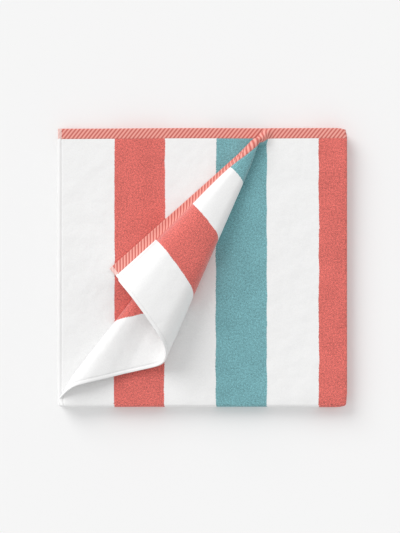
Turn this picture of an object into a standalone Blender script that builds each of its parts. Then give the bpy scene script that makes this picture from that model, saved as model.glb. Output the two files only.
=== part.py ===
"""Striped beach towel, folded into eight layers, its top corner turned back in a loose roll.

The towel is one woven cloth. It is folded in half across its width, with the fold on the right, and
then back and forth along its length into four panels. The free corner of the top layer is lifted from
the left, turned over a slanting crease and rolled back on itself, so that its end hem lies on the layer
below. The cloth is worked out as its middle surface, on a grid that runs across and along the towel,
and then gets its thickness. +X points right across the stripes, +Y points to the end hem and +Z up,
and the origin lies under the middle of the folded towel.
"""

from math import cos, pi, radians, sin, tan

import bpy
import numpy as np

# The cloth, in metres
CLOTH_THICKNESS = 0.0024
LAYER_PITCH = 0.0032

# The folded towel, in metres
FOLDED_WIDTH = 0.4588
FOLDED_LENGTH = 0.4425
TOP_LAYER_SHORTFALL = 0.0033
TURN_RADIUS = LAYER_PITCH / 2
PANEL_TURN_RADIUS = LAYER_PITCH
HIDDEN_TURN_INSET = 0.003

LEFT_HEM_X = -FOLDED_WIDTH / 2
SIDE_TURN_X = FOLDED_WIDTH / 2 - TURN_RADIUS - CLOTH_THICKNESS / 2
TOP_LEFT_HEM_X = LEFT_HEM_X + TOP_LAYER_SHORTFALL
END_HEM_Y = FOLDED_LENGTH / 2
TURN_REACH = PANEL_TURN_RADIUS + TURN_RADIUS + CLOTH_THICKNESS / 2
BOTTOM_TURN_Y = -FOLDED_LENGTH / 2 + TURN_REACH
HIDDEN_TURN_Y = FOLDED_LENGTH / 2 - TURN_REACH - HIDDEN_TURN_INSET
BOTTOM_LAYER_Z = CLOTH_THICKNESS / 2
TOP_LAYER_Z = BOTTOM_LAYER_Z + 7 * LAYER_PITCH

# The turned-back corner. The crease starts on the end hem and slants down to the left, and every
# straight line of the roll starts at the crease's own top, like the lines of a cone.
CREASE_TOP_X = 0.1014
CREASE_ANGLE = 52.0
HEM_PULL = 0.006
HEM_PULL_END_ANGLE = 35.0
GATHER_START = 0.020
GATHER_END = -0.014

# The section across the roll, from the end hem round to the crease. "angle" is the angle in the flat
# cloth between the end hem and that line of the roll, "slope" is the way the cloth climbs there, seen
# along the roll (0 runs right, 90 straight up, -90 down, -180 back to the left underneath), "top" is
# the same close to the crease's top, where the thick cloth can't bend as sharply, and "lift" is the
# number of layers that the cloth lies above the top layer's own level.
ROLL_SECTION = (
    {"part": "hem on the layer below", "angle": 0, "slope": 0, "top": 70, "lift": 0.00},
    {"part": "hem starts to lift", "angle": 3, "slope": 30, "top": 75, "lift": 0.05},
    {"part": "steepest rise", "angle": 6, "slope": 95, "top": 75, "lift": 0.20},
    {"part": "side of the roll", "angle": 9, "slope": 75, "top": 65, "lift": 0.40},
    {"part": "shoulder", "angle": 13, "slope": 45, "top": 50, "lift": 0.70},
    {"part": "crown", "angle": 18, "slope": 0, "top": 15, "lift": 1.00},
    {"part": "far end of the crown", "angle": 27, "slope": -15, "top": -45, "lift": 1.00},
    {"part": "outer edge begins", "angle": 31, "slope": -55, "top": -70, "lift": 1.00},
    {"part": "outer edge", "angle": 35, "slope": -90, "top": -90, "lift": 1.00},
    {"part": "outer edge ends", "angle": 39, "slope": -165, "top": -115, "lift": 1.00},
    {"part": "hollow of the underside", "angle": 43, "slope": -190, "top": -140, "lift": 1.00},
    {"part": "underside by the crease", "angle": 49, "slope": -185, "top": -130, "lift": 0.90},
    {"part": "crease", "angle": CREASE_ANGLE, "slope": -95, "top": -95, "lift": 0.54},
)
TOP_SECTION_END = 0.060
LANDING_ANGLE = 27.0

# Unevenness of the stack, in metres
SETTLE_SHARE = 0.03
SETTLE_WAVES = (0.31, 0.37)
SETTLE_PHASES = (0.6, 0.4)
LAYER_DRIFT = 0.0006
DRIFT_LAYERS = 3
FLAT_LAYERS = 8
CORNER_PULL = 0.003
CORNER_REACH = 0.009

# Steps of the grid. Rows of the roll are spaced by its bending, plus a share of the plain angle.
ROLL_STEPS = 27
PLAIN_ANGLE_SHARE = 1.6
CREASE_STEPS = 4
TURN_STEPS = 6
FINE_STEPS = 520
ROLL_COLUMNS_X = (0.004, 0.030, 0.075, 0.125, 0.175, 0.220, 0.255, 0.280, 0.298)
GATHER_COLUMNS = 8
RIGHT_COLUMNS = 3
UNDER_COLUMNS = 7
TOP_PANEL_SHARES = (0.25, 0.55, 0.85, 1.0)
PANEL_STEPS = 3
LEAST_BEND = 1e-6

TERRY_WHITE = (0.88, 0.88, 0.88, 1.0)
TERRY_ROUGHNESS = 0.95


def clear_scene():
    for item in list(bpy.data.objects):
        bpy.data.objects.remove(item, do_unlink=True)


def ease(share):
    """Smooth step from 0 to 1, flat at both ends."""
    share = np.clip(share, 0.0, 1.0)
    return share * share * (3 - 2 * share)


def column_positions():
    """Each column's flat x and its offset from the middle of its pair of layers."""
    roll = TOP_LEFT_HEM_X + np.array((0.0,) + ROLL_COLUMNS_X)
    gather = CREASE_TOP_X - np.linspace(GATHER_START, GATHER_END, GATHER_COLUMNS)
    flat = np.linspace(gather[-1], SIDE_TURN_X, RIGHT_COLUMNS + 1)[1:]
    turn = np.linspace(0, pi, TURN_STEPS + 1)[1:]
    under = np.linspace(SIDE_TURN_X, LEFT_HEM_X, UNDER_COLUMNS + 1)[1:]
    top = np.concatenate([roll, gather, flat])
    x = np.concatenate([top, SIDE_TURN_X + TURN_RADIUS * np.sin(turn), under])
    offset = np.concatenate([np.full(len(top), TURN_RADIUS), TURN_RADIUS * np.cos(turn),
                             np.full(len(under), -TURN_RADIUS)])
    return x, offset


def roll_amount(x):
    """How far each column takes part in the roll: fully on the left, dying out past the crease's top."""
    return ease((CREASE_TOP_X - x - GATHER_END) / (GATHER_START - GATHER_END))


def section_curve(amount, reach):
    """Slope, then direction on a unit sphere round the crease's top, for each line of the roll.

    The cloth isn't stretched: a step in sheet angle is a step of the same size on the sphere, taken
    along the slope. The steps are added up from the crease, where the direction is known.
    """
    angle = np.linspace(0, radians(CREASE_ANGLE), FINE_STEPS + 1)
    known = [radians(row["angle"]) for row in ROLL_SECTION]
    far, top, lift = [np.interp(angle, known, [row[name] for row in ROLL_SECTION])
                      for name in ("slope", "top", "lift")]
    share = ease((reach - GATHER_START) / (TOP_SECTION_END - GATHER_START))
    slope = np.radians(top[:, None] * (1 - share) + far[:, None] * share) * amount
    middle = 0.5 * (slope[1:] + slope[:-1])
    step = angle[1] - angle[0]
    climb = np.sin(middle) * step
    high = np.vstack([-np.cumsum(climb[::-1], axis=0)[::-1], np.zeros(len(amount))])
    high = high - high[0] * np.clip(1 - angle / radians(LANDING_ANGLE), 0, 1)[:, None] ** 2
    run = np.cos(middle) / np.cos(0.5 * (high[1:] + high[:-1])) * step
    along = angle[-1] + np.vstack([-np.cumsum(run[::-1], axis=0)[::-1], np.zeros(len(amount))])
    return angle, np.radians(far), lift, along, high


def section_rows(angle, slope):
    """Indices of the lines that become rows: closer together where the cloth bends more."""
    bend = np.abs(np.diff(slope)) + PLAIN_ANGLE_SHARE * np.diff(angle)
    travelled = np.concatenate([[0], np.cumsum(bend)])
    wanted = np.linspace(0, travelled[-1], ROLL_STEPS)
    return np.unique(np.searchsorted(travelled[:-1], wanted))


def top_panel(x, offset):
    """Rows of the top panel, from the end hem to the start of the bottom turn, as an array of points."""
    corner = radians(CREASE_ANGLE)
    crease_turn = radians(-ROLL_SECTION[-1]["slope"])
    strip = TURN_RADIUS * crease_turn
    on_top = offset >= TURN_RADIUS
    amount = np.where(on_top, roll_amount(x), 0.0)
    reach = np.where(on_top, np.maximum(CREASE_TOP_X - x, GATHER_START), GATHER_START)
    apex_x = x + reach
    level = TOP_LAYER_Z - TURN_RADIUS + offset
    bend = np.maximum(amount, LEAST_BEND)
    radius = TURN_RADIUS / bend

    angle, slope, lift, along, high = section_curve(amount, reach)
    rows = section_rows(angle, slope)
    theta = angle[rows][:, None]
    pull = HEM_PULL * amount * (1 - ease(theta / radians(HEM_PULL_END_ANGLE)))
    length = (reach + pull) / np.cos(theta)
    drawn_in = strip - radius * np.sin(bend * crease_turn)
    risen = radius * (1 - np.cos(bend * crease_turn))
    stack = LAYER_PITCH * amount * (lift[rows][:, None] - lift[-1])
    roll_x = apex_x - length * np.cos(high[rows]) * np.cos(along[rows]) + drawn_in * sin(corner)
    roll_y = END_HEM_Y - length * np.cos(high[rows]) * np.sin(along[rows]) - drawn_in * cos(corner)
    roll_z = level + risen + stack + length * np.sin(high[rows])

    from_roll = strip * (np.arange(1, CREASE_STEPS + 1) / CREASE_STEPS)[:, None]
    turned = bend * crease_turn * (strip - from_roll) / strip
    down = reach / cos(corner) + from_roll * tan(corner)
    across = radius * np.sin(turned) - strip
    crease_x = apex_x - down * cos(corner) - across * sin(corner)
    crease_y = END_HEM_Y - down * sin(corner) + across * cos(corner)
    crease_z = level + radius * (1 - np.cos(turned))

    share = np.array(TOP_PANEL_SHARES)[:, None]
    flat_y = crease_y[-1] + (BOTTOM_TURN_Y - crease_y[-1]) * share
    flat_x = np.broadcast_to(x, flat_y.shape)
    flat_z = np.broadcast_to(level, flat_y.shape)

    return np.stack([np.vstack([roll_x, crease_x, flat_x]),
                     np.vstack([roll_y, crease_y, flat_y]),
                     np.vstack([roll_z, crease_z, flat_z])], axis=-1)


def panel_turn(x, offset, centre_y, centre_z, side):
    """Half a turn of both layers about a line across the towel. side is -1 at the bottom, 1 at the top."""
    beta = (pi * np.arange(1, TURN_STEPS + 1) / TURN_STEPS)[:, None]
    ring = PANEL_TURN_RADIUS - side * offset
    y = centre_y + side * ring * np.sin(beta)
    z = centre_z + ring * np.cos(beta)
    return np.stack([np.broadcast_to(x, y.shape), y, z], axis=-1)


def flat_panel(last_row, end_y, steps):
    """Rows that run straight on from the last one to end_y."""
    rows = np.repeat(last_row[None], steps, axis=0)
    share = (np.arange(1, steps + 1) / steps)[:, None]
    rows[:, :, 1] += share * (end_y - last_row[:, 1])
    return rows


def settle(points):
    """Make the stack as uneven as folded terry is, while the bottom face stays flat on the floor.

    Heights are stretched by a slow wave, so that gaps keep their share. The layers drift a little
    against each other, and the two right-hand corners are drawn in.
    """
    x, y, z = points[:, 0], points[:, 1], points[:, 2]
    wave_x = np.sin(2 * pi * x / SETTLE_WAVES[0] + SETTLE_PHASES[0])
    wave_y = np.cos(2 * pi * y / SETTLE_WAVES[1] + SETTLE_PHASES[1])
    level = np.minimum(z, FLAT_LAYERS * LAYER_PITCH)
    drift = LAYER_DRIFT * np.sin(2 * pi * level / (DRIFT_LAYERS * LAYER_PITCH))
    moved = points.copy()
    moved[:, 2] += SETTLE_SHARE * wave_x * wave_y * z
    moved[:, 0] += drift
    moved[:, 1] += drift * np.cos(2 * pi * x / FOLDED_WIDTH)
    for corner_y in (-FOLDED_LENGTH / 2, FOLDED_LENGTH / 2):
        away = np.hypot(x - FOLDED_WIDTH / 2, y - corner_y)
        pull = CORNER_PULL * np.exp(-(away / CORNER_REACH) ** 2) / np.sqrt(2)
        moved[:, 0] -= pull
        moved[:, 1] -= pull * np.sign(corner_y)
    return moved


def towel_surface():
    """The towel's middle surface as a grid of points: rows along the towel, columns across it."""
    x, offset = column_positions()
    turn_z = [BOTTOM_LAYER_Z + layers * LAYER_PITCH for layers in (5.5, 3.5, 1.5)]
    rows = [top_panel(x, offset)]
    rows.append(panel_turn(x, offset, BOTTOM_TURN_Y, turn_z[0], -1))
    rows.append(flat_panel(rows[-1][-1], HIDDEN_TURN_Y, PANEL_STEPS))
    rows.append(panel_turn(x, offset, HIDDEN_TURN_Y, turn_z[1], 1))
    rows.append(flat_panel(rows[-1][-1], BOTTOM_TURN_Y, PANEL_STEPS))
    rows.append(panel_turn(x, offset, BOTTOM_TURN_Y, turn_z[2], -1))
    rows.append(flat_panel(rows[-1][-1], END_HEM_Y, PANEL_STEPS))
    return np.concatenate(rows)


def terry_material():
    material = bpy.data.materials.new("terry")
    material.use_nodes = True
    shader = material.node_tree.nodes["Principled BSDF"]
    shader.inputs["Base Color"].default_value = TERRY_WHITE
    shader.inputs["Roughness"].default_value = TERRY_ROUGHNESS
    shader.inputs["Metallic"].default_value = 0.0
    return material


def sheet_object(points):
    """The middle surface as an object, with a modifier that gives it the cloth's thickness."""
    rows, columns = points.shape[:2]
    index = np.arange(rows * columns).reshape(rows, columns)
    faces = np.stack([index[:-1, :-1], index[1:, :-1], index[1:, 1:], index[:-1, 1:]], axis=-1)
    mesh = bpy.data.meshes.new("towel_middle")
    mesh.from_pydata(points.reshape(-1, 3).tolist(), [], faces.reshape(-1, 4).tolist())
    sheet = bpy.data.objects.new("towel", mesh)
    bpy.context.collection.objects.link(sheet)
    thicken = sheet.modifiers.new("thickness", "SOLIDIFY")
    thicken.thickness = CLOTH_THICKNESS
    thicken.offset = 0.0
    thicken.use_even_offset = True
    thicken.use_quality_normals = True
    thicken.use_rim = True
    return sheet


def build_towel():
    towel = sheet_object(towel_surface())
    bpy.context.view_layer.update()
    solid = bpy.data.meshes.new_from_object(towel.evaluated_get(bpy.context.evaluated_depsgraph_get()))
    towel.modifiers.clear()
    points = np.empty(3 * len(solid.vertices))
    solid.vertices.foreach_get("co", points)
    solid.vertices.foreach_set("co", settle(points.reshape(-1, 3)).ravel())
    solid.name = "towel"
    solid.materials.append(terry_material())
    solid.shade_smooth()
    towel.data = solid
    return towel


clear_scene()
build_towel()
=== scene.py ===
"""Looks of a folded striped beach towel with its top corner turned back in a loose roll. Lengths are in
metres and angles in degrees."""

from math import cos, pi, radians, sin, tan

import bpy
import numpy as np
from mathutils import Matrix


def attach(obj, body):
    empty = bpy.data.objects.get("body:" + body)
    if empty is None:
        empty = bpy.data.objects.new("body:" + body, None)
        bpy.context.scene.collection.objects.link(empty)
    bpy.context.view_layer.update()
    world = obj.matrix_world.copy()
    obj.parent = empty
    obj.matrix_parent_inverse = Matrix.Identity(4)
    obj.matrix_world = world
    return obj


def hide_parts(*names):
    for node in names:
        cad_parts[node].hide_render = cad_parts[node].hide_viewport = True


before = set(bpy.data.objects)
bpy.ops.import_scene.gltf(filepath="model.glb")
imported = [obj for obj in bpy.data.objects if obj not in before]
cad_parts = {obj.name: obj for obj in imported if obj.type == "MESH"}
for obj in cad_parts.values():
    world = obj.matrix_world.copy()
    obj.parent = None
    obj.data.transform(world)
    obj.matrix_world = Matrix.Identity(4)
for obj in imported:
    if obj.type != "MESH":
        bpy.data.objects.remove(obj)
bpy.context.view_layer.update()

# The towel's cloth: one piece of woven cotton terry, dyed in lengthwise stripes, folded in half across
# its width and then back and forth along its length. The free corner of the top layer is turned over a
# slanting crease and rolled back, so that its end hem lies on the layer below.
TOWEL_WIDTH = 0.914
HALF_CLOTH = 0.00115
PITCH = 0.0032
LAYERS = 8
PITCHES_TO_TOP_PANEL = 6.5
FOLDED_WIDTH = 0.4588
FOLDED_LENGTH = 0.4425
TOP_LAYER_SHORTFALL = 0.0033
HIDDEN_TURN_INSET = 0.003
SIDE_TURN = PITCH / 2
PANEL_TURN = PITCH
FACE_REACH = 0.0012
HEM_CLEARANCE = 0.0004
BOTTOM_Z = FACE_REACH + HEM_CLEARANCE
TOP_PANEL_Z = BOTTOM_Z + PITCHES_TO_TOP_PANEL * PITCH
LEFT_HEM_X = -FOLDED_WIDTH / 2 + TOP_LAYER_SHORTFALL
SIDE_TURN_X = FOLDED_WIDTH / 2 - SIDE_TURN - FACE_REACH
END_HEM_Y = FOLDED_LENGTH / 2
BOTTOM_TURN_Y = -FOLDED_LENGTH / 2 + PANEL_TURN + SIDE_TURN + FACE_REACH
HIDDEN_TURN_Y = -BOTTOM_TURN_Y - HIDDEN_TURN_INSET
TOP_HALF = SIDE_TURN_X - LEFT_HEM_X
OUTER_PANEL = END_HEM_Y - BOTTOM_TURN_Y
INNER_PANEL = HIDDEN_TURN_Y - BOTTOM_TURN_Y
TURN_LENGTH = pi * PANEL_TURN
TOWEL_LENGTH = 2 * OUTER_PANEL + 2 * INNER_PANEL + 3 * TURN_LENGTH
PAST_THE_END = 1.0

BORDER_WIDTH = 0.0165
BORDER_LAP = 0.002
CREASE_TOP_X = 0.1014
CREASE_ANGLE = 52.0
CREASE_TURN = 95.0
HEM_PULL = 0.006
PULL_ANGLE = 35.0
GATHER_START = 0.020
GATHER_END = -0.014
TOP_SECTION_END = 0.060
LANDING_ANGLE = 27.0
LINE_STEPS = 520
TINY = 1e-6

# The roll's section, by angle on the flat sheet from the end hem to the crease: the cloth's slope away
# from the crease's top and close to it, and its lift in pitches.
ROLL_SECTION = (
    {"part": "hem on the layer below", "angle": 0, "slope": 0, "top": 70, "lift": 0.00},
    {"part": "hem starts to lift", "angle": 3, "slope": 30, "top": 75, "lift": 0.05},
    {"part": "steepest rise", "angle": 6, "slope": 95, "top": 75, "lift": 0.20},
    {"part": "side of the roll", "angle": 9, "slope": 75, "top": 65, "lift": 0.40},
    {"part": "shoulder", "angle": 13, "slope": 45, "top": 50, "lift": 0.70},
    {"part": "crown", "angle": 18, "slope": 0, "top": 15, "lift": 1.00},
    {"part": "far end of the crown", "angle": 27, "slope": -15, "top": -45, "lift": 1.00},
    {"part": "outer edge begins", "angle": 31, "slope": -55, "top": -70, "lift": 1.00},
    {"part": "outer edge", "angle": 35, "slope": -90, "top": -90, "lift": 1.00},
    {"part": "outer edge ends", "angle": 39, "slope": -165, "top": -115, "lift": 1.00},
    {"part": "hollow of the underside", "angle": 43, "slope": -190, "top": -140, "lift": 1.00},
    {"part": "underside by the crease", "angle": 49, "slope": -185, "top": -130, "lift": 0.90},
    {"part": "crease", "angle": CREASE_ANGLE, "slope": -CREASE_TURN, "top": -CREASE_TURN, "lift": 0.54},
)

HAND_CREASES = (
    {"part": "ridge beside the trough", "angle": 47.6, "spread": 1.7, "rise": 0.0022},
    {"part": "trough of the underside", "angle": 44.0, "spread": 1.5, "rise": -0.0034},
)
HAND_CREASES_FROM = 0.13
HAND_CREASES_OVER = 0.15

SETTLE_SHARE = 0.03
SETTLE_WAVES = (0.31, 0.37)
SETTLE_PHASES = (0.6, 0.4)
LAYER_DRIFT = 0.0006
DRIFT_LAYERS = 3
CORNER_PULL = 0.003
CORNER_REACH = 0.009
LOOSE_FROM = 5.3 * PITCH
LOOSE_OVER = 1.6 * PITCH
LOOP_LIFT = 0.007
LOOP_PULL = 0.0035
LOOP_REACH = 0.030
LOOP_PULL_NARROWER = 2.2
TIP_Y = END_HEM_Y - (CREASE_TOP_X - LEFT_HEM_X) * tan(radians(CREASE_ANGLE))
TIP_DROP = 0.009
TIP_REACH = 0.021


def ease(share):
    """Smooth step from 0 to 1: 3 s squared less 2 s cubed, held at both ends."""
    share = np.clip(share, 0.0, 1.0)
    return share * share * (3 - 2 * share)


def bell(distance, reach):
    """Bell curve: e to the minus square of the distance over the reach."""
    return np.exp(-(distance / reach) ** 2)


def across(u):
    """Flat x and offset from the middle of the two layers: straight, half a circle round the side fold,
    and straight back."""
    turn = np.clip((u - TOP_HALF) / SIDE_TURN, 0, pi)
    back = np.maximum(u - TOP_HALF - pi * SIDE_TURN, 0)
    x = LEFT_HEM_X + np.minimum(u, TOP_HALF) + SIDE_TURN * np.sin(turn) - back
    return x, SIDE_TURN * np.cos(turn)


def stack(v, offset):
    """Y and z of the folded panels: four straight runs joined by half circles. The offset is laid off
    along the normal, which turns with the path."""
    starts = np.cumsum([0, OUTER_PANEL, TURN_LENGTH, INNER_PANEL, TURN_LENGTH, INNER_PANEL, TURN_LENGTH])
    lengths = (OUTER_PANEL, INNER_PANEL, INNER_PANEL, OUTER_PANEL + PAST_THE_END)
    runs = [np.clip(v - start, 0, length) for start, length in zip(starts[0::2], lengths)]
    turns = [np.clip((v - start) / PANEL_TURN, 0, pi) for start in starts[1::2]]
    y = END_HEM_Y - runs[0] + runs[1] - runs[2] + runs[3]
    y = y + PANEL_TURN * (np.sin(turns[1]) - np.sin(turns[0]) - np.sin(turns[2]))
    z = TOP_PANEL_Z - PANEL_TURN * sum(1 - np.cos(turn) for turn in turns)
    heading = turns[0] - turns[1] + turns[2]
    return y - np.sin(heading) * offset, z + np.cos(heading) * offset


def roll_share(u):
    """How far each column takes part in the roll, and its distance from the crease's top."""
    x, _ = across(u)
    on_top = u < TOP_HALF
    share = ease((CREASE_TOP_X - x - GATHER_END) / (GATHER_START - GATHER_END))
    reach = np.maximum(CREASE_TOP_X - x, GATHER_START)
    return np.where(on_top, share, 0.0), np.where(on_top, reach, GATHER_START)


def roll_lines(share, reach):
    """Directions of the roll's straight lines from the crease's top: steps of sheet angle are laid off
    on a sphere along the slope of the section, added up from the crease."""
    angle = np.linspace(0, radians(CREASE_ANGLE), LINE_STEPS + 1)
    known = [radians(row["angle"]) for row in ROLL_SECTION]
    far, top, lift = [np.interp(angle, known, [row[name] for row in ROLL_SECTION])
                      for name in ("slope", "top", "lift")]
    blend = ease((reach - GATHER_START) / (TOP_SECTION_END - GATHER_START))
    slope = np.radians(top[:, None] * (1 - blend) + far[:, None] * blend) * share
    middle = 0.5 * (slope[1:] + slope[:-1])
    step = angle[1]
    still = np.zeros(len(share))
    high = np.vstack([-np.cumsum((np.sin(middle) * step)[::-1], axis=0)[::-1], still])
    high = high - high[0] * np.clip(1 - angle / radians(LANDING_ANGLE), 0, 1)[:, None] ** 2
    run = np.cos(middle) / np.cos(0.5 * (high[1:] + high[:-1])) * step
    along = angle[-1] + np.vstack([-np.cumsum(run[::-1], axis=0)[::-1], still])
    return angle, lift, along, high


def read_lines(table, theta, step):
    """Values of a table of columns at each column's own angles, straight between its rows."""
    place = np.clip(theta / step, 0, len(table) - 1 - TINY)
    low = place.astype(int)
    part = place - low
    columns = np.broadcast_to(np.arange(table.shape[1]), theta.shape)
    return table[low, columns] * (1 - part) + table[low + 1, columns] * part


def hand_creases(theta, v, share):
    """Soft ridges and troughs of the turned-back corner: bell curves over the sheet's angle, which die
    out towards the crease's top."""
    rise = sum(row["rise"] * bell(np.degrees(theta) - row["angle"], row["spread"]) for row in HAND_CREASES)
    return share * rise * ease((v - HAND_CREASES_FROM) / HAND_CREASES_OVER)


def top_corner(u, v, flat):
    """The top panel with its corner turned back: a cone of straight lines, then an arc round the
    crease, then the flat panel."""
    share, reach = roll_share(u)
    corner = radians(CREASE_ANGLE)
    crease_turn = radians(CREASE_TURN)
    strip = SIDE_TURN * crease_turn
    bend = np.maximum(share, TINY)
    radius = SIDE_TURN / bend
    level = TOP_PANEL_Z + SIDE_TURN
    apex_x = across(u)[0] + reach

    angle, lift, along_lines, high_lines = roll_lines(share, reach)
    theta = np.arctan2(v, reach)
    along = read_lines(along_lines, theta, angle[1])
    high = read_lines(high_lines, theta, angle[1])
    layers = np.interp(theta, angle, lift) - lift[-1]
    pull = HEM_PULL * share * (1 - ease(theta / radians(PULL_ANGLE)))
    length = (reach + pull) / np.cos(np.minimum(theta, corner))
    drawn_in = strip - radius * np.sin(bend * crease_turn)
    risen = radius * (1 - np.cos(bend * crease_turn))
    cone = (apex_x - length * np.cos(high) * np.cos(along) + drawn_in * sin(corner),
            END_HEM_Y - length * np.cos(high) * np.sin(along) - drawn_in * cos(corner),
            level + risen + PITCH * share * layers + length * np.sin(high) + hand_creases(theta, v, share))

    past = (v - reach * tan(corner)) * cos(corner)
    turned = bend * crease_turn * np.clip(1 - past / strip, 0, 1)
    down = reach / cos(corner) + past * tan(corner)
    out = radius * np.sin(turned) - strip
    arc = (apex_x - down * cos(corner) - out * sin(corner),
           END_HEM_Y - down * sin(corner) + out * cos(corner),
           level + radius * (1 - np.cos(turned)))

    turned_back = (u < TOP_HALF) & (v < OUTER_PANEL)
    in_cone = turned_back & (theta <= corner)
    in_arc = turned_back & ~in_cone & (past < strip)
    return [np.where(in_cone, c, np.where(in_arc, a, f)) for c, a, f in zip(cone, arc, flat)]


def fold(u, v):
    """Places the cloth's middle surface. u is a row of distances across, v a grid of distances along."""
    x, offset = across(u)
    y, z = stack(v, offset)
    flat = (np.broadcast_to(x, y.shape), y, z)
    return np.stack(top_corner(u, v, flat), axis=-1)


def settle(points):
    """Unevenness of the stack: heights are stretched by a slow wave, layers drift against each other,
    and the right-hand corners are drawn in. Bell curves lift the top fold's left end to a soft loop and
    let the crease's lower tip down to it. The bottom face stays flat."""
    x, y, z = points[..., 0], points[..., 1], points[..., 2]
    wave = (np.sin(2 * pi * x / SETTLE_WAVES[0] + SETTLE_PHASES[0])
            * np.cos(2 * pi * y / SETTLE_WAVES[1] + SETTLE_PHASES[1]))
    drift = LAYER_DRIFT * np.sin(2 * pi * np.minimum(z, LAYERS * PITCH) / (DRIFT_LAYERS * PITCH))
    moved = points.copy()
    moved[..., 2] += SETTLE_SHARE * wave * z
    moved[..., 0] += drift
    moved[..., 1] += drift * np.cos(2 * pi * x / FOLDED_WIDTH)
    for corner_y in (-FOLDED_LENGTH / 2, FOLDED_LENGTH / 2):
        away = np.hypot(x - FOLDED_WIDTH / 2, y - corner_y)
        pull = CORNER_PULL * bell(away, CORNER_REACH) / np.sqrt(2)
        moved[..., 0] -= pull
        moved[..., 1] -= pull * np.sign(corner_y)
    loose = ease((z - LOOSE_FROM) / LOOSE_OVER)
    away = np.hypot(x - LEFT_HEM_X, y + FOLDED_LENGTH / 2)
    moved[..., 2] += LOOP_LIFT * loose * bell(away, LOOP_REACH)
    moved[..., :2] += (LOOP_PULL * loose * bell(LOOP_PULL_NARROWER * away, LOOP_REACH))[..., None]
    moved[..., 1] -= TIP_DROP * loose * bell(np.hypot(x - LEFT_HEM_X, y - TIP_Y), TIP_REACH)
    return moved


NORMAL_STEP = 0.00015
LEAST_CROSS = 1e-12


def cloth_normals(u, v):
    """Unit normals on the towel's outer face: the cross product of small steps along and across."""
    along = fold(u, v + NORMAL_STEP) - fold(u, v - NORMAL_STEP)
    side = fold(u + NORMAL_STEP, v) - fold(u - NORMAL_STEP, v)
    normal = np.cross(along, side)
    return normal / np.maximum(np.linalg.norm(normal, axis=-1, keepdims=True), LEAST_CROSS)


def new_piece(name, mesh):
    """A smooth-shaded object of the mesh, in the scene and at the origin."""
    mesh.shade_smooth()
    piece = bpy.data.objects.new(name, mesh)
    bpy.context.collection.objects.link(piece)
    return piece


def two_faced(name, u, v, outer, inner, maps):
    """A closed mesh from a grid: the outer face, the inner face turned round, and a rim that joins
    their borders. outer and inner are heights above and below the middle surface. maps gives each UV
    map's values on the outer and the inner face."""
    middle = fold(u, v)
    normal = cloth_normals(u, v)
    rows, columns = middle.shape[:2]
    points = np.concatenate([settle(middle + normal * outer[..., None]).reshape(-1, 3),
                             settle(middle - normal * inner[..., None]).reshape(-1, 3)])
    index = np.arange(rows * columns).reshape(rows, columns)
    top = np.stack([index[:-1, :-1], index[1:, :-1], index[1:, 1:], index[:-1, 1:]], -1).reshape(-1, 4)
    under = top[:, ::-1] + rows * columns
    ring = np.concatenate([index[0, :-1], index[:-1, -1], index[-1, :0:-1], index[:0:-1, 0]])
    ahead = np.roll(ring, -1)
    rim = np.stack([ring, ahead, ahead + rows * columns, ring + rows * columns], -1)
    faces = np.concatenate([top, under, rim])
    mesh = bpy.data.meshes.new(name)
    mesh.from_pydata(points.tolist(), [], faces.tolist())
    corners = faces.ravel()
    for map_name, (on_outer, on_inner) in maps.items():
        values = np.concatenate([on_outer.reshape(-1, 2), on_inner.reshape(-1, 2)])
        layer = mesh.uv_layers.new(name=map_name)
        layer.data.foreach_set("uv", values[corners].ravel())
    return new_piece(name, mesh)


BORDER_ROWS = (0.0, 0.9, 1.9)
STRAIGHT_WEIGHT = 3.0
ROLL_ROWS = 64
CREASE_ROWS = 8
TOP_PANEL_ROWS = 24
TURN_ROWS = 10
HIDDEN_PANEL_ROWS = 10


def shares(count):
    """Even steps up to 1 as a column, without the 0 that they start from."""
    return np.linspace(0, 1, count)[1:, None]


def cloth_rows(u):
    """Distances along for the cloth's grid. Three rows follow the border, then the roll's rows run
    from there to the crease, closer together where the section bends more, and last the crease's arc
    and the panels."""
    _, reach = roll_share(u)
    corner = radians(CREASE_ANGLE)
    start = BORDER_WIDTH - BORDER_LAP
    first = start + BORDER_LAP * np.array(BORDER_ROWS)[:, None] + np.zeros(len(u))
    angle = np.linspace(0, CREASE_ANGLE, LINE_STEPS + 1)
    slope = np.interp(angle, [row["angle"] for row in ROLL_SECTION], [row["slope"] for row in ROLL_SECTION])
    effort = np.abs(np.diff(slope)) + STRAIGHT_WEIGHT * np.diff(angle)
    travelled = np.concatenate([[0], np.cumsum(effort)])
    begun = np.interp(np.degrees(np.arctan2(first[-1], reach)), angle, travelled)
    wanted = begun + (travelled[-1] - begun) * shares(ROLL_ROWS)
    roll = np.concatenate([first, reach * np.tan(np.radians(np.interp(wanted, travelled, angle)))])
    crease = roll[-1] + SIDE_TURN * radians(CREASE_TURN) / cos(corner) * shares(CREASE_ROWS)
    flat = crease[-1] + (OUTER_PANEL - crease[-1]) * shares(TOP_PANEL_ROWS)
    rows = [roll, crease, flat]
    reached = OUTER_PANEL
    for panel in (INNER_PANEL, INNER_PANEL, OUTER_PANEL):
        turn = reached + TURN_LENGTH * shares(TURN_ROWS)
        straight = reached + TURN_LENGTH + panel * shares(HIDDEN_PANEL_ROWS)
        rows += [np.repeat(turn, len(u), axis=1), np.repeat(straight, len(u), axis=1)]
        reached += TURN_LENGTH + panel
    rows[-1] = np.minimum(rows[-1], TOWEL_LENGTH - start)
    return np.concatenate(rows)


SIDE_HEM = 0.0055
HEM_COLUMNS = np.array([0.0, 0.0006, 0.0016, 0.0030, 0.0042, 0.0049, 0.0055, 0.0061, 0.0070, 0.0086])
PAST_HEM = 0.0115

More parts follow.
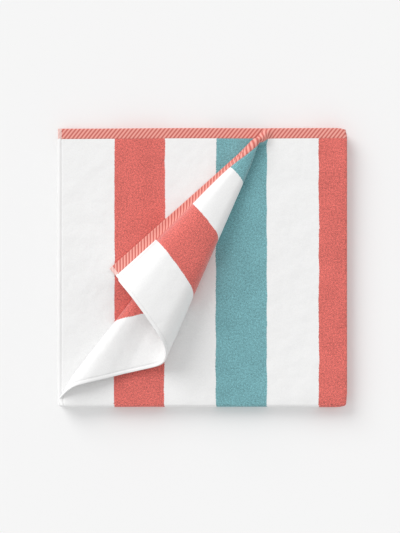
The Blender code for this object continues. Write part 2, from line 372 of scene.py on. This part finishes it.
# Distances from the crease's top between which the columns stand closer together.
NEAR_CREASE_TOP = {"wide until": -0.062, "close from": -0.059, "close until": 0.016, "wide from": 0.020}
LEFT_COLUMNS = 66
CREASE_TOP_COLUMNS = 36
RIGHT_COLUMNS = 26
SIDE_TURN_COLUMNS = 10
UNDER_COLUMNS = 90


def cloth_columns():
    """Distances across for the cloth's grid: close at the hems, by the crease's top and round the fold."""
    wide_until, close_from, close_until, wide_from = [
        CREASE_TOP_X - LEFT_HEM_X + distance for distance in NEAR_CREASE_TOP.values()]
    return np.concatenate([
        HEM_COLUMNS,
        np.linspace(PAST_HEM, wide_until, LEFT_COLUMNS),
        np.linspace(close_from, close_until, CREASE_TOP_COLUMNS),
        np.linspace(wide_from, TOP_HALF, RIGHT_COLUMNS),
        TOP_HALF + pi * SIDE_TURN * np.linspace(0, 1, SIDE_TURN_COLUMNS)[1:],
        np.linspace(TOP_HALF + pi * SIDE_TURN, TOWEL_WIDTH - PAST_HEM, UNDER_COLUMNS)[1:],
        TOWEL_WIDTH - HEM_COLUMNS[::-1],
    ])


HEM_BULGE = 0.00035
HEM_RAMP = 0.002
HEM_GROOVE = 0.00070
HEM_EDGE = 0.0005
HEM_LINE = 0.0008
BORDER_TUCK = 0.0005
TUCK_LAPS = 1.8

cloth_u = cloth_columns()
cloth_v = cloth_rows(cloth_u)
from_edge = np.minimum(cloth_u, TOWEL_WIDTH - cloth_u)
hem_bulge = HEM_BULGE * ease((SIDE_HEM - from_edge) / HEM_RAMP)
hem_groove = HEM_GROOVE * bell(from_edge - SIDE_HEM, HEM_LINE)
hem_edge = HEM_EDGE * bell(from_edge, HEM_LINE)
from_end = np.minimum(cloth_v, TOWEL_LENGTH - cloth_v) - (BORDER_WIDTH - BORDER_LAP)
tucked = 1 - ease(from_end / (TUCK_LAPS * BORDER_LAP))
cloth_height = (HALF_CLOTH + hem_bulge - hem_groove - hem_edge) - BORDER_TUCK * tucked
sheet_map = np.stack([np.broadcast_to(cloth_u, cloth_v.shape), cloth_v], axis=-1)
towel = two_faced("terry_cloth", cloth_u, cloth_v, cloth_height, cloth_height,
                  {"sheet": (sheet_map, sheet_map)})


class Value:
    """A number in a material. Operators on it add Math nodes."""

    def __init__(self, finish, socket):
        self.finish = finish
        self.socket = socket

    def math(self, operation, *values):
        return self.finish.node("ShaderNodeMath", {"operation": operation}, dict(enumerate(values)))

    def __add__(self, other):
        return self.math("ADD", self, other)

    __radd__ = __add__

    def __mul__(self, other):
        return self.math("MULTIPLY", self, other)

    __rmul__ = __mul__

    def __sub__(self, other):
        return self.math("SUBTRACT", self, other)

    def __rsub__(self, other):
        return self.math("SUBTRACT", other, self)

    def __lt__(self, other):
        return self.math("LESS_THAN", self, other)

    def __gt__(self, other):
        return self.math("GREATER_THAN", self, other)

    def __abs__(self):
        return self.math("ABSOLUTE", self)


class Finish:
    """A material in the making. node() adds a node of any type, and the short methods after set() name
    the ones that are used more than once."""

    def __init__(self, name):
        self.material = bpy.data.materials.new(name)
        self.material.use_nodes = True
        self.tree = self.material.node_tree
        self.shader = self.tree.nodes["Principled BSDF"]

    def node(self, kind, settings, values, output=0):
        node = self.tree.nodes.new(kind)
        for name, value in settings.items():
            setattr(node, name, value)
        for key, value in values.items():
            self.connect(node.inputs[key], value)
        return Value(self, node.outputs[output])

    def connect(self, socket, value):
        if isinstance(value, Value):
            self.tree.links.new(value.socket, socket)
        else:
            socket.default_value = value

    def set(self, **values):
        for name, value in values.items():
            self.connect(self.shader.inputs[name.replace("_", " ")], value)

    def uv(self, name):
        """The piece's UV map of that name, as a vector."""
        return self.node("ShaderNodeUVMap", {"uv_map": name}, {})

    def first(self, vector):
        """The first number of a vector."""
        return self.node("ShaderNodeSeparateXYZ", {}, {0: vector})

    def mix(self, share, first, second):
        """Colour between first and second."""
        return self.node("ShaderNodeMix", {"data_type": "RGBA"}, {0: share, 6: first, 7: second}, output=2)

    def noise(self, where, scale, detail=2.0):
        return self.node("ShaderNodeTexNoise", {}, {"Vector": where, "Scale": scale, "Detail": detail})

    def bump(self, strength, distance, height):
        return self.node("ShaderNodeBump", {},
                         {"Strength": strength, "Distance": distance, "Height": height})


TERRY_WHITE = (0.885, 0.885, 0.883, 1.0)
TERRY_CORAL = (0.712, 0.157, 0.134, 1.0)
TERRY_AQUA = (0.184, 0.412, 0.447, 1.0)
STRIPE_MIDDLE = TOP_HALF + SIDE_TURN * pi / 2
STRIPE_EDGES = {
    "coral middle": 0.0441,
    "white": 0.1265,
    "aqua": 0.2073,
    "inner white": 0.2889,
    "coral": 0.3690,
}
EDGE_WANDER = 0.0035
EDGE_FUZZ = 0.0022
SLOW_SCALE = 28.0
TUFT_SCALE = 330.0
LOOP_SCALE = 950.0
LOOP_WEIGHT = 0.65
TUFT_WEIGHT = 0.35
GRAIN = {"coral": 2.4, "aqua": 2.2, "everywhere": 0.17}
# Painted shade: a broad slow noise makes the dyed stripes lighter and darker across the cloth.
SLOW_PAINTED_SHADE = 0.3
WHITE_PILE = 0.7
DYED_PILE = 0.3
HEM_FLATNESS = 0.8
SOFT_UNEVENNESS = 3.5


def terry():
    """Striped terry: colours from the distance to the middle of the towel, edges a little wavy. Loops
    are fine noise in colour and height, which shows most in the dyed stripes, and the woven side hems
    have no loops."""
    finish = Finish("terry")
    sheet = finish.uv("sheet")
    u = finish.first(sheet)
    slow = finish.noise(sheet, SLOW_SCALE)
    loops = finish.noise(sheet, LOOP_SCALE, detail=0.0)
    tufts = finish.noise(sheet, TUFT_SCALE, detail=1.0)
    away = abs(u - STRIPE_MIDDLE) + EDGE_WANDER * (slow - 0.5) + EDGE_FUZZ * (loops - 0.5)
    coral = (away < STRIPE_EDGES["coral middle"]) + ((away > STRIPE_EDGES["inner white"])
                                                     * (away < STRIPE_EDGES["coral"]))
    aqua = (away > STRIPE_EDGES["white"]) * (away < STRIPE_EDGES["aqua"])
    hem = abs(u - TOWEL_WIDTH / 2) > TOWEL_WIDTH / 2 - SIDE_HEM
    dyed = finish.mix(aqua, finish.mix(coral, TERRY_WHITE, TERRY_CORAL), TERRY_AQUA)
    pile = LOOP_WEIGHT * loops + TUFT_WEIGHT * tufts - 0.5
    depth = GRAIN["coral"] * coral + GRAIN["aqua"] * aqua + GRAIN["everywhere"]
    # The slow term is painted shade on the dyed stripes; the pile term is the loops' fine speckle.
    shade = 1 + pile * depth * (1 - hem) + (slow - 0.5) * SLOW_PAINTED_SHADE * (coral + aqua)
    colour = finish.node("ShaderNodeVectorMath", {"operation": "SCALE"}, {0: dyed, "Scale": shade})
    loop_height = pile * (WHITE_PILE + DYED_PILE * (coral + aqua)) * (1 - HEM_FLATNESS * hem)
    relief = finish.bump(strength=0.6, distance=0.0012, height=loop_height + SOFT_UNEVENNESS * slow)
    finish.set(Base_Color=colour, Roughness=0.92, Normal=relief, Sheen_Weight=0.5, Sheen_Roughness=0.5,
               Specular_IOR_Level=0.15)
    return finish.material


towel.data.materials.append(terry())

# The end borders: a flat-woven coral band with slanting ribs across each end of the towel, woven in one
# with the cloth and turned under at the hem. Each rib is a raised cord, coloured with painted light on the
# cord and painted shade in the groove beside it.
RIB_PITCH = 0.0050
RIB_ANGLE = 51.0
RIB_HEIGHT = 0.00013
BORDER_HEIGHT = HALF_CLOTH + 0.00012
BAND_ROWS = 13
ROLLED_BAND = 0.40
ROLLED_BAND_COLUMNS = 400
FLAT_BAND_COLUMNS = 430
BAND_EDGE_FROM = BORDER_WIDTH * 0.46
BAND_EDGE_OVER = BORDER_WIDTH * 0.04
BAND_END = 0.001
BAND_EDGE_DROP = 0.0004
# Painted light for the lit cord of each rib and painted shade for the groove beside it.
RIB_PAINTED_LIGHT = (0.92, 0.42, 0.36, 1.0)
RIB_PAINTED_SHADE = (0.56, 0.125, 0.105, 1.0)
HEM_OVER_BORDER = (0.86, 0.66, 0.62, 1.0)
HEM_COVER = 0.7
YARN_SCALE = 900.0


def border_band(name, start, end):
    """A ribbed band over both faces of the cloth: heights follow a cosine across slanting lines, which
    lean the same way on both faces, as seen from each."""
    steps = np.concatenate([np.linspace(0, ROLLED_BAND, ROLLED_BAND_COLUMNS)[:-1],
                            np.linspace(ROLLED_BAND, TOWEL_WIDTH, FLAT_BAND_COLUMNS)])
    v = np.repeat(np.linspace(start, end, BAND_ROWS)[:, None], len(steps), axis=1)
    slant = radians(RIB_ANGLE)
    outer_phase = (steps * sin(slant) + v * cos(slant)) / RIB_PITCH
    inner_phase = (-steps * sin(slant) + v * cos(slant)) / RIB_PITCH
    edge = ease((np.abs(v - 0.5 * (start + end)) - BAND_EDGE_FROM) / BAND_EDGE_OVER)
    ends = ease(1 - np.minimum(steps, TOWEL_WIDTH - steps) / BAND_END)
    flat = BORDER_HEIGHT - BAND_EDGE_DROP * np.maximum(edge, ends)
    outer = flat + RIB_HEIGHT * np.cos(2 * pi * outer_phase) * (1 - edge)
    inner = flat + RIB_HEIGHT * np.cos(2 * pi * inner_phase) * (1 - edge)
    sheet = np.stack([np.broadcast_to(steps, v.shape), v], axis=-1)
    ribs = (np.stack([outer_phase, v], axis=-1), np.stack([inner_phase, v], axis=-1))
    return two_faced(name, steps, v, outer, inner, {"sheet": (sheet, sheet), "ribs": ribs})


def border_weave():
    """Ribbed coral weave: light and dark bands follow the ribs, painted light on each cord and painted
    shade in the groove beside it, with the turned side hem's pale end.
    """
    finish = Finish("border_weave")
    phase = finish.first(finish.uv("ribs"))
    sheet = finish.uv("sheet")
    u = finish.first(sheet)
    yarn = finish.noise(sheet, YARN_SCALE)
    wave = phase.math("COSINE", phase * (2 * pi)) * 0.5 + 0.5
    # Painted light and shade: the colour goes from the shaded groove to the lit cord across each rib.
    ribs = finish.mix(wave, RIB_PAINTED_SHADE, RIB_PAINTED_LIGHT)
    ends = abs(u - TOWEL_WIDTH / 2) > TOWEL_WIDTH / 2 - SIDE_HEM
    colour = finish.mix(ends * HEM_COVER, ribs, HEM_OVER_BORDER)
    relief = finish.bump(strength=0.4, distance=0.0004, height=yarn + wave)
    finish.set(Base_Color=colour, Roughness=0.8, Normal=relief, Sheen_Weight=0.1, Specular_IOR_Level=0.2)
    return finish.material


weave = border_weave()
top_border = border_band("end_border", 0.0, BORDER_WIDTH)
far_border = border_band("far_border", TOWEL_LENGTH - BORDER_WIDTH, TOWEL_LENGTH)
for band in (top_border, far_border):
    band.data.materials.append(weave)

# The stitching: both side hems are turned under and sewn down with a row of white lockstitch, which
# shows on either face in the groove beside the hem. Each stitch is a short bead of cotton thread.
STITCH_PITCH = 0.0036
STITCH_LENGTH = 0.0028
SEAM_END = 0.003
THREAD_RADIUS = 0.0003
STITCH_DEPTH = 0.0004
STITCH_RINGS = 5
STITCH_SIDES = 6
BLUNT_END = 1.03
TANGENT_STEP = 0.0002
THREAD_WHITE = (0.86, 0.855, 0.85, 1.0)


def stitch_beads(face):
    """Two rows of beads on one face: ellipsoids along the sheet, with their round section laid off in
    the plane of the cloth's normal and the direction across the row."""
    u = np.array([SIDE_HEM, TOWEL_WIDTH - SIDE_HEM])
    starts = np.arange(SEAM_END, TOWEL_LENGTH - SEAM_END, STITCH_PITCH)
    along = np.linspace(-1, 1, STITCH_RINGS)
    v = (starts[:, None] + along * STITCH_LENGTH / 2).reshape(-1, 1) + np.zeros(2)
    in_border = np.minimum(v, TOWEL_LENGTH - v) < BORDER_WIDTH
    height = face * np.where(in_border, BORDER_HEIGHT, HALF_CLOTH - STITCH_DEPTH)
    normal = cloth_normals(u, v)
    tangent = fold(u, v + TANGENT_STEP) - fold(u, v - TANGENT_STEP)
    sideways = np.cross(tangent / np.linalg.norm(tangent, axis=-1, keepdims=True), normal)
    radius = np.tile(THREAD_RADIUS * np.sqrt(BLUNT_END - along ** 2), len(starts))[:, None, None, None]
    turn = (2 * pi * np.arange(STITCH_SIDES) / STITCH_SIDES)[:, None]
    round_section = np.cos(turn) * normal[:, :, None] + np.sin(turn) * sideways[:, :, None]
    points = (fold(u, v) + normal * height[..., None])[:, :, None] + radius * round_section
    beads = points.reshape(len(starts), STITCH_RINGS, 2, STITCH_SIDES, 3).transpose(0, 2, 1, 3, 4)
    return settle(beads.reshape(-1, 3))


def hem_stitching():
    """All the beads as one mesh: quads join each ring to the next, each ring closes on itself, and a
    face closes either end of a bead."""
    points = np.concatenate([stitch_beads(1.0), stitch_beads(-1.0)])
    index = np.arange(len(points)).reshape(-1, STITCH_RINGS, STITCH_SIDES)
    ahead = np.roll(index, -1, axis=2)
    sides = np.stack([index[:, :-1], ahead[:, :-1], ahead[:, 1:], index[:, 1:]], axis=-1).reshape(-1, 4)
    ends = np.concatenate([index[:, 0, ::-1], index[:, -1]])
    mesh = bpy.data.meshes.new("hem_stitching")
    mesh.from_pydata(points.tolist(), [], sides.tolist() + ends.tolist())
    return new_piece("hem_stitching", mesh)


stitching = hem_stitching()
thread = Finish("thread")
thread.set(Base_Color=THREAD_WHITE, Roughness=0.7, Sheen_Weight=0.3)
stitching.data.materials.append(thread.material)

trimmings = [top_border, far_border, stitching]
for piece in [towel] + trimmings:
    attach(piece, "root")
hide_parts("towel")

# The setting: a plain pale floor with a faint white glow, which lightens the shadows cast on it, a soft
# studio light from the upper left, and a camera that looks straight down from well above.
WHITE = (1.0, 1.0, 1.0, 1.0)
FLOOR_SIZE = 60.0
FLOOR_Z = -0.0002
FLOOR_GREY = (0.822, 0.822, 0.822, 1.0)
FLOOR_GLOW = 0.10
WORLD_SHARE = 0.70
KEY_TILT = 57.0
KEY_TURN = 48.0
KEY_WIDTH = 40.0
bpy.ops.mesh.primitive_plane_add(size=FLOOR_SIZE, location=(0.0, 0.0, FLOOR_Z))
floor = bpy.context.object
floor.name = "floor"
floor_finish = Finish("floor")
floor_finish.set(Base_Color=FLOOR_GREY, Roughness=0.9, Specular_IOR_Level=0.0,
                 Emission_Color=WHITE, Emission_Strength=FLOOR_GLOW)
floor.data.materials.append(floor_finish.material)

world = bpy.data.worlds.new("studio")
bpy.context.scene.world = world
world.use_nodes = True
sky = world.node_tree.nodes["Background"]
sky.inputs["Color"].default_value = WHITE
sky.inputs["Strength"].default_value = WORLD_SHARE

key_light = bpy.data.lights.new("key", "SUN")
key_light.angle = radians(KEY_WIDTH)
key_light.energy = (1 - WORLD_SHARE) * pi / cos(radians(KEY_TILT))
key = bpy.data.objects.new("key", key_light)
key.rotation_euler = (0.0, -radians(KEY_TILT), -radians(KEY_TURN))
bpy.context.collection.objects.link(key)

CAMERA_PLACE = (-0.0036, 0.0020)
CAMERA_ABOVE = 2.2
STACK_TOP = 0.0248
VIEW_HEIGHT = 0.8448
SENSOR = 36.0
camera_data = bpy.data.cameras.new("camera")
camera_data.sensor_fit = "VERTICAL"
camera_data.sensor_height = SENSOR
camera_data.lens = SENSOR * CAMERA_ABOVE / VIEW_HEIGHT
camera = bpy.data.objects.new("camera", camera_data)
camera.location = (*CAMERA_PLACE, STACK_TOP + CAMERA_ABOVE)
bpy.context.collection.objects.link(camera)
bpy.context.scene.camera = camera
bpy.context.scene.view_settings.view_transform = "Standard"
